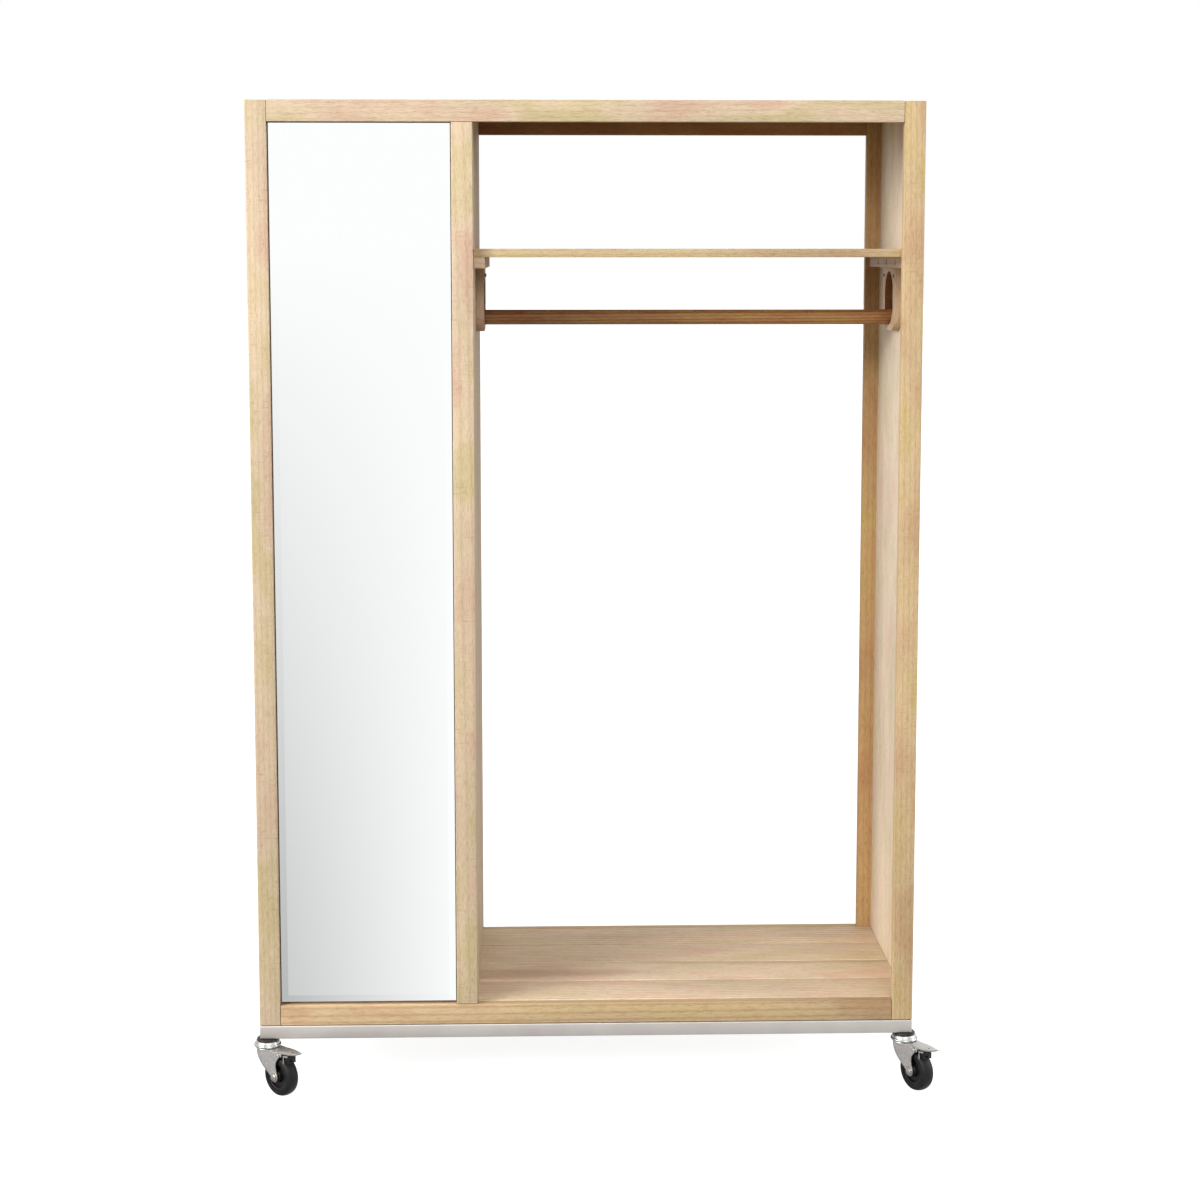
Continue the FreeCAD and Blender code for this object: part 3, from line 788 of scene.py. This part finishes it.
# height, leading edge and trailing edge of the cheeks
FORK_ROWS = [(84.1, -20.8, 47.5), (80.5, -21.3, 50.8), (76.0, -21.2, 50.2), (71.0, -20.6, 45.4),
             (65.5, -18.6, 41.6), (59.5, -14.4, 40.6), (53.5, -8.4, 41.4), (47.5, -0.4, 43.4),
             (42.0, 8.6, 45.6), (37.5, 17.4, 46.8), (33.2, 25.4, 45.6), (30.4, 30.8, 43.2),
             (28.9, 34.6, 40.6)]
NOSE_STEPS, SIDE_STEPS = 16, 6


def sheet_grid(name, columns, rows, place):
    """A grid whose every vertex goes where place(column, row) says, in mm."""
    deselect()
    bpy.ops.mesh.primitive_grid_add(x_subdivisions=columns, y_subdivisions=rows, size=1)
    piece = named(name)
    for vertex in piece.data.vertices:
        spot = place(round((vertex.co.x + 0.5) * columns), round((vertex.co.y + 0.5) * rows))
        vertex.co = Vector(spot) * MM
    return piece


def fork_point(column, row):
    """Where a vertex of the flat grid goes on the bent fork."""
    height, lead, tail = FORK_ROWS[row]
    nose = min(CHEEK, 0.45 * (tail - lead))
    if column < SIDE_STEPS:
        return (tail + (lead + nose - tail) * column / SIDE_STEPS, -CHEEK, height)
    if column > SIDE_STEPS + NOSE_STEPS:
        steps = 2 * SIDE_STEPS + NOSE_STEPS - column
        return (tail + (lead + nose - tail) * steps / SIDE_STEPS, CHEEK, height)
    turn = math.pi * ((column - SIDE_STEPS) / NOSE_STEPS - 0.5)
    return (lead + nose * (1 - math.cos(turn)), CHEEK * math.sin(turn), height)


def thickened(piece, thickness, levels):
    """Smooths a sheet and gives it a thickness, half to each side."""
    rounder = piece.modifiers.new("smooth", "SUBSURF")
    rounder.levels = rounder.render_levels = levels
    plate = piece.modifiers.new("sheet", "SOLIDIFY")
    plate.thickness, plate.offset = thickness * MM, 0
    apply_all(piece)
    pick(piece, "polygons", lambda centre, normal: True)
    bpy.ops.mesh.normals_make_consistent(inside=False)
    done()
    return piece


shell = sheet_grid("fork_shell", 2 * SIDE_STEPS + NOSE_STEPS, len(FORK_ROWS) - 1, fork_point)
shell = thickened(shell, FORK_SHEET, 2)
bored(shell, WHEEL_R + MOUTH_GAP, MOUTH_W, AXLE, LYING_ALONG_Y)
eased(shell, 0.35 * MM, 2, 50)
crown = lathed("fork_crown", [(20.6, 81.9), (21.6, 82.5), (21.9, 83.2), (21.6, 84.1)])
bridge = eased(block("fork_bridge", Vector((0, -16.6, 81.9)) * MM, Vector((42, 16.6, 84.4)) * MM),
               0.8 * MM)
fork = joined("caster_fork_pressing", [shell, crown, bridge])
smooth(fork, 40)
print("fork:", len(fork.data.polygons), "faces")
four(fork, "fork", "fork", "zinc_fork", zinc)

# %% [markdown]
# ## Wheel
# The tyre is a crowned ring of black rubber with a shallow groove moulded in each side. The hub is
# black plastic with a recessed web. Both are turned about Z and then laid on the axle.

# %% Rubber and plastic materials


def moulded(name, colour, worn, rough, grit_mm):
    """A moulded black surface: matt, a little greyer where dust and wear sit."""
    material, tree, shader = blank(name)
    where = add(tree, "ShaderNodeTexCoord")
    grit = add(tree, "ShaderNodeTexNoise",
               {"Vector": where.outputs["Object"], "Scale": 1 / (grit_mm * MM),
                "Detail": 3.0})
    dust = add(tree, "ShaderNodeTexNoise",
               {"Vector": where.outputs["Object"], "Scale": 90.0, "Detail": 4.0})
    tint = add(tree, "ShaderNodeValToRGB", {"Fac": dust.outputs["Fac"]},
               stops=[(0.4, linear(colour)), (0.75, linear(worn))])
    polish = add(tree, "ShaderNodeMapRange", {"Value": dust.outputs["Fac"], "To Min": rough - 0.1,
                                              "To Max": rough + 0.1})
    relief = add(tree, "ShaderNodeBump", {"Height": grit.outputs["Fac"], "Strength": 0.2,
                                          "Distance": 0.1 * MM})
    tree.links.new(tint.outputs["Color"], shader.inputs["Base Color"])
    tree.links.new(polish.outputs[0], shader.inputs["Roughness"])
    tree.links.new(relief.outputs["Normal"], shader.inputs["Normal"])
    shader.inputs["IOR"].default_value = 1.5
    shader.inputs["Specular IOR Level"].default_value = 0.25
    return material


rubber = moulded("matt_black_rubber", "#0D0C0D", "#1C1B1C", 0.55, 0.9)
plastic = moulded("moulded_black_plastic", "#080708", "#141314", 0.42, 1.2)

# %% Tyre and hub
TYRE_SIDE = [(26.0, -12.0), (28.6, -12.0), (29.0, -11.3), (30.2, -11.3), (30.6, -12.0),
             (32.2, -11.9), (33.9, -11.0), (35.4, -9.4), (36.5, -6.8), (37.2, -3.6)]
HUB_SIDE = [(5.1, -13.0), (9.8, -13.0), (10.8, -12.2), (11.8, -7.0), (20.4, -7.0), (21.4, -10.4),
            (22.6, -11.0), (26.0, -11.0)]
for name, kind, side, crown_row, material in (
        ("caster_tyre_ring", "tyre", TYRE_SIDE, [(37.5, 0)], rubber),
        ("caster_hub_disc", "hub", HUB_SIDE, [], plastic)):
    outline = side + crown_row + [(r, -z) for r, z in reversed(side)] + side[:1]
    piece = laid(lathed(name, outline, 72, is_ring=True), AXLE)
    smooth(piece, 32)
    four(piece, kind, "wheel", "caster_" + kind, material)

# %% [markdown]
# ## Axle bolt
# A hexagon bolt with a washer under its head and under its nut. A cylinder of six sides is the
# hexagon, and a bevel chamfers its corners.

# %% Axle bolt


def hexagon(name, low, high):
    """A 12 mm hexagon along Z from low to high, in mm, with its corners chamfered."""
    deselect()
    bpy.ops.mesh.primitive_cylinder_add(vertices=6, radius=6.9 * MM, depth=(high - low) * MM,
                                        location=(0, 0, (low + high) / 2 * MM))
    return eased(named(name), 0.7 * MM, 2, 50)


parts = [
    hexagon("head", 18.2, 21.2), hexagon("nut", -22.2, -18.2),
    lathed("head_washer", [(8.4, 17.2), (8.6, 17.5), (8.6, 17.9), (8.3, 18.2)], 40),
    lathed("nut_washer", [(8.3, -18.2), (8.6, -17.9), (8.6, -17.5), (8.4, -17.2)], 40),
    lathed("head_dome", [(5.0, 21.1), (4.6, 21.5), (3.0, 21.7)], 32),
    lathed("shank", [(3.2, -24.2), (4.0, -23.4), (4.0, 17.2)], 32),
    lathed("sleeve", [(5.0, -15.0), (5.0, 15.0)], 40),
]
axle = laid(joined("caster_axle_bolt", parts), AXLE)
smooth(axle, 35)
four(axle, "axle", "fork", "axle_steel", zinc_bolt)

# %% [markdown]
# ## Brake pedal
# The pedal is a pressed plate, wide at its root and narrow at its upturned tip, with two ears that
# turn on a pin. The plate is bent from a flat grid, as the fork was.

# %% Pedal
# distance from the swivel axis, half width and height of the pedal's plate
PEDAL_ROWS = [(37.0, 12.5, 86.2), (44.0, 14.8, 86.3), (53.0, 15.0, 86.5), (62.0, 14.8, 86.8),
              (72.0, 12.6, 87.1), (80.0, 10.2, 87.6), (88.0, 7.5, 89.4), (95.0, 5.0, 91.7),
              (100.0, 3.2, 93.4), (102.6, 1.2, 94.2)]
PEDAL_SHEET = 1.6
ACROSS = 8
EAR_Y, EAR_BACK, EAR_FRONT, EAR_DOWN, EAR_UP = 13.2, 5.2, 8.0, 3.6, 6.4


def pedal_point(column, row):
    """Where a vertex of the flat grid goes on the pedal, whose edges droop a little."""
    along, half, height = PEDAL_ROWS[row]
    side = 2 * column / ACROSS - 1
    return (along - 0.8 * side * side, half * side, height - 1.1 * side ** 4)


plate = sheet_grid("pedal_plate", ACROSS, len(PEDAL_ROWS) - 1, pedal_point)
plate = eased(thickened(plate, PEDAL_SHEET, 2), 0.3 * MM, 2, 50)
ears = []
for side in (-1, 1):
    ear = block("pedal_ear", Vector((PIN_X - EAR_BACK, side * EAR_Y - 1, PIN_Z - EAR_DOWN)) * MM,
                Vector((PIN_X + EAR_FRONT, side * EAR_Y + 1, PIN_Z + EAR_UP)) * MM)
    pick(ear, "edges", lambda a, b: abs(a.y - b.y) > MM and a.z < (PIN_Z - 3) * MM)
    bpy.ops.mesh.bevel(offset=3.4 * MM, segments=6, affect="EDGES")
    done()
    ears.append(eased(ear, 0.3 * MM, 2, 50))
pin = lathed("pedal_pin", [(1.6, -18.2), (2.9, -17.9), (3.1, -17.3), (2.0, -17.2),
                           (2.0, 17.2), (3.1, 17.3), (2.9, 17.9), (1.6, 18.2)], 24)
laid(pin, Vector((PIN_X, 0, PIN_Z)) * MM)
pedal = joined("caster_pedal_plate", [plate, pin] + ears)
smooth(pedal, 40)
four(pedal, "pedal", "pedal", "zinc_pedal", zinc_pedal)

# %% [markdown]
# ## Brake shoe
# A black shoe hangs under the pedal, close over the tyre, so its underside is cut to a circle round
# the axle. It has two small pegs, and a bright spring strip, bent to an L, lies along each side.

# %% Shoe, pegs and springs
SHOE_GAP = 3.4
shoe = block("pedal_shoe", Vector((55.0, -10, 60)) * MM, Vector((67.0, 10, 86.4)) * MM)
bored(shoe, WHEEL_R + SHOE_GAP, 40, AXLE, LYING_ALONG_Y)
eased(shoe, 0.9 * MM, 3, 30)
peg_down = lathed("peg_down", [(1.2, 79.0), (1.9, 79.6), (1.9, 88.0)], 20)
peg_down.data.transform(Matrix.Translation((71.5 * MM, 0, 0)))
peg_out = lathed("peg_out", [(1.9, 0.0), (1.9, 4.6), (1.2, 5.2)], 20)
laid(peg_out, Vector((66, 0, 70)) * MM, "Y")
brake_shoe = joined("caster_brake_shoe", [shoe, peg_down, peg_out])
smooth(brake_shoe, 35)
four(brake_shoe, None, "pedal", "caster_hub", plastic)
STRIP_Y, STRIP_HALF, STRIP_BEND_Z = 11.2, 0.6, 77.8 * MM
strips = []
for side in (-1, 1):
    strip = block("spring_strip", Vector((55.6, side * STRIP_Y - STRIP_HALF, 65)) * MM,
                  Vector((58.8, side * STRIP_Y + STRIP_HALF, 81)) * MM)
    pick(strip, "polygons", lambda centre, normal: normal.x > 0.9)
    bpy.ops.mesh.bisect(plane_co=(0, 0, STRIP_BEND_Z), plane_no=(0, 0, 1))
    done()
    pick(strip, "polygons", lambda centre, normal: normal.x > 0.9 and centre.z > STRIP_BEND_Z)
    bpy.ops.mesh.extrude_region_move(TRANSFORM_OT_translate={"value": (9.0 * MM, 0, 1.6 * MM)})
    done()
    strips.append(eased(strip, 0.3 * MM, 2, 40))
springs = joined("caster_brake_springs", strips)
smooth(springs, 35)
four(springs, None, "pedal", "axle_steel", zinc_bolt)

# %% [markdown]
# ## Camera
# The camera stands a little left of the middle, at about eye height, and looks slightly down.
# A small shift of the picture keeps the posts more nearly parallel than tilting alone would.

# %% Camera
camera_data = bpy.data.cameras.new("camera")
camera_data.lens, camera_data.sensor_width = 67.9, 36.0
camera_data.shift_y = -0.08
camera = bpy.data.objects.new("camera", camera_data)
camera.location = (-0.092, -4.269, 1.539)
camera.rotation_euler = (math.radians(90 - 6.42), 0, math.radians(-1.64))
bpy.context.scene.collection.objects.link(camera)
bpy.context.scene.camera = camera

# %% [markdown]
# ## Studio
# The room is a white studio. The key light is a soft box high on the front left, which throws the
# divider's soft shadow across the floor boards. A larger soft box hangs in front, above the camera,
# and fills the shadows. A tall one far to the left lights the inside of the right panel, and one
# far to the right lights its outside. The floor and the world look white to the camera, but send
# little light back up, so that the inside of the top stays dark, as it does over a dark floor. The
# floor's paint fades to pure white with distance, so that no horizon shows.

# %% Soft boxes


def soft_box(name, at, towards, size, power):
    """A rectangular lamp of a size in metres and a power in watts, turned towards a point."""
    data = bpy.data.lights.new(name, "AREA")
    data.shape, data.size, data.size_y, data.energy = "RECTANGLE", size[0], size[1], power
    lamp = bpy.data.objects.new(name, data)
    lamp.location = at
    lamp.rotation_euler = (Vector(towards) - Vector(at)).to_track_quat("-Z", "Y").to_euler()
    bpy.context.scene.collection.objects.link(lamp)


soft_box("key_soft_box", (-5.6, -4.9, 4.1), (0.0, 0, 0.9), (3.2, 3.6), 350)
soft_box("fill_soft_box", (0.9, -6.8, 4.6), (0.1, 0, 0.9), (4.4, 3.0), 220)
soft_box("side_soft_box", (-6.4, -3.6, 2.3), (0.6, -0.1, 1.4), (1.4, 3.0), 280)
soft_box("right_soft_box", (6.4, -0.2, 2.4), (0.6, 0, 0.9), (2.4, 2.4), 170)

# %% World and studio floor
world = bpy.data.worlds.new("white_studio")
bpy.context.scene.world = world
world.use_nodes = True
tree = world.node_tree
tree.nodes.clear()
ray = add(tree, "ShaderNodeLightPath")
facing = add(tree, "ShaderNodeSeparateXYZ",
             {"Vector": add(tree, "ShaderNodeTexCoord").outputs["Generated"]})
# what shiny parts see: white, with a darker corner low on the left
low_down = add(tree, "ShaderNodeMapRange",
               {"Value": facing.outputs["Z"], "From Min": 0.0, "From Max": -0.4,
                "To Min": 0.0, "To Max": 0.53})
to_left = add(tree, "ShaderNodeMapRange", {"Value": facing.outputs["X"], "From Min": -0.03,
                                           "From Max": -0.13, "To Min": 0.0, "To Max": 1.3})
corner = add(tree, "ShaderNodeMath",
             {0: low_down.outputs[0], 1: to_left.outputs[0]}, operation="MULTIPLY")
mirrored = add(tree, "ShaderNodeMath", {0: 1.08, 1: corner.outputs[0]}, operation="SUBTRACT")
fill = add(tree, "ShaderNodeMix",
           {0: ray.outputs["Is Glossy Ray"], 2: 0.45, 3: mirrored.outputs[0]},
           data_type="FLOAT")
strength = add(tree, "ShaderNodeMix", {0: ray.outputs["Is Camera Ray"], 2: fill.outputs[0], 3: 1.0},
               data_type="FLOAT")
sky = add(tree, "ShaderNodeBackground",
          {"Color": linear("#FFFFFF"), "Strength": strength.outputs[0]})
add(tree, "ShaderNodeOutputWorld", {"Surface": sky.outputs["Background"]})

deselect()
bpy.ops.mesh.primitive_circle_add(vertices=96, radius=60, fill_type="NGON", location=(0, 0, 0))
ground = named("studio_floor")
paint = bpy.data.materials.new("matt_white_floor_paint")
paint.use_nodes = True
tree = paint.node_tree
tree.nodes.clear()
ray = add(tree, "ShaderNodeLightPath")
away = add(tree, "ShaderNodeVectorMath", {0: add(tree, "ShaderNodeTexCoord").outputs["Object"]},
           operation="LENGTH")
glow = add(tree, "ShaderNodeMapRange",
           {"Value": away.outputs["Value"], "From Min": 1.2, "From Max": 4.0,
            "To Min": 0.9, "To Max": 1.05}, interpolation_type="SMOOTHSTEP")
bright = add(tree, "ShaderNodeEmission", {"Color": linear("#FFFFFF"), "Strength": glow.outputs[0]})
matt = add(tree, "ShaderNodeBsdfDiffuse", {"Color": linear("#A8A8A8")})
seen = add(tree, "ShaderNodeAddShader", {0: bright.outputs[0], 1: matt.outputs[0]})
bounce = add(tree, "ShaderNodeBsdfDiffuse", {"Color": linear("#6E6B66")})
either = add(tree, "ShaderNodeMixShader", {0: ray.outputs["Is Camera Ray"], 1: bounce.outputs[0],
                                           2: seen.outputs[0]})
add(tree, "ShaderNodeOutputMaterial", {"Surface": either.outputs[0]})
ground.data.materials.append(paint)
ground.visible_glossy = False
ground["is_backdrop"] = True
bpy.context.scene.view_settings.view_transform = "Standard"
bpy.context.scene.view_settings.look = "None"

# %% [markdown]
# ## Last step
# The bounds of the finished picture model are worked out.

# %% Sizes and finish
low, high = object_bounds()
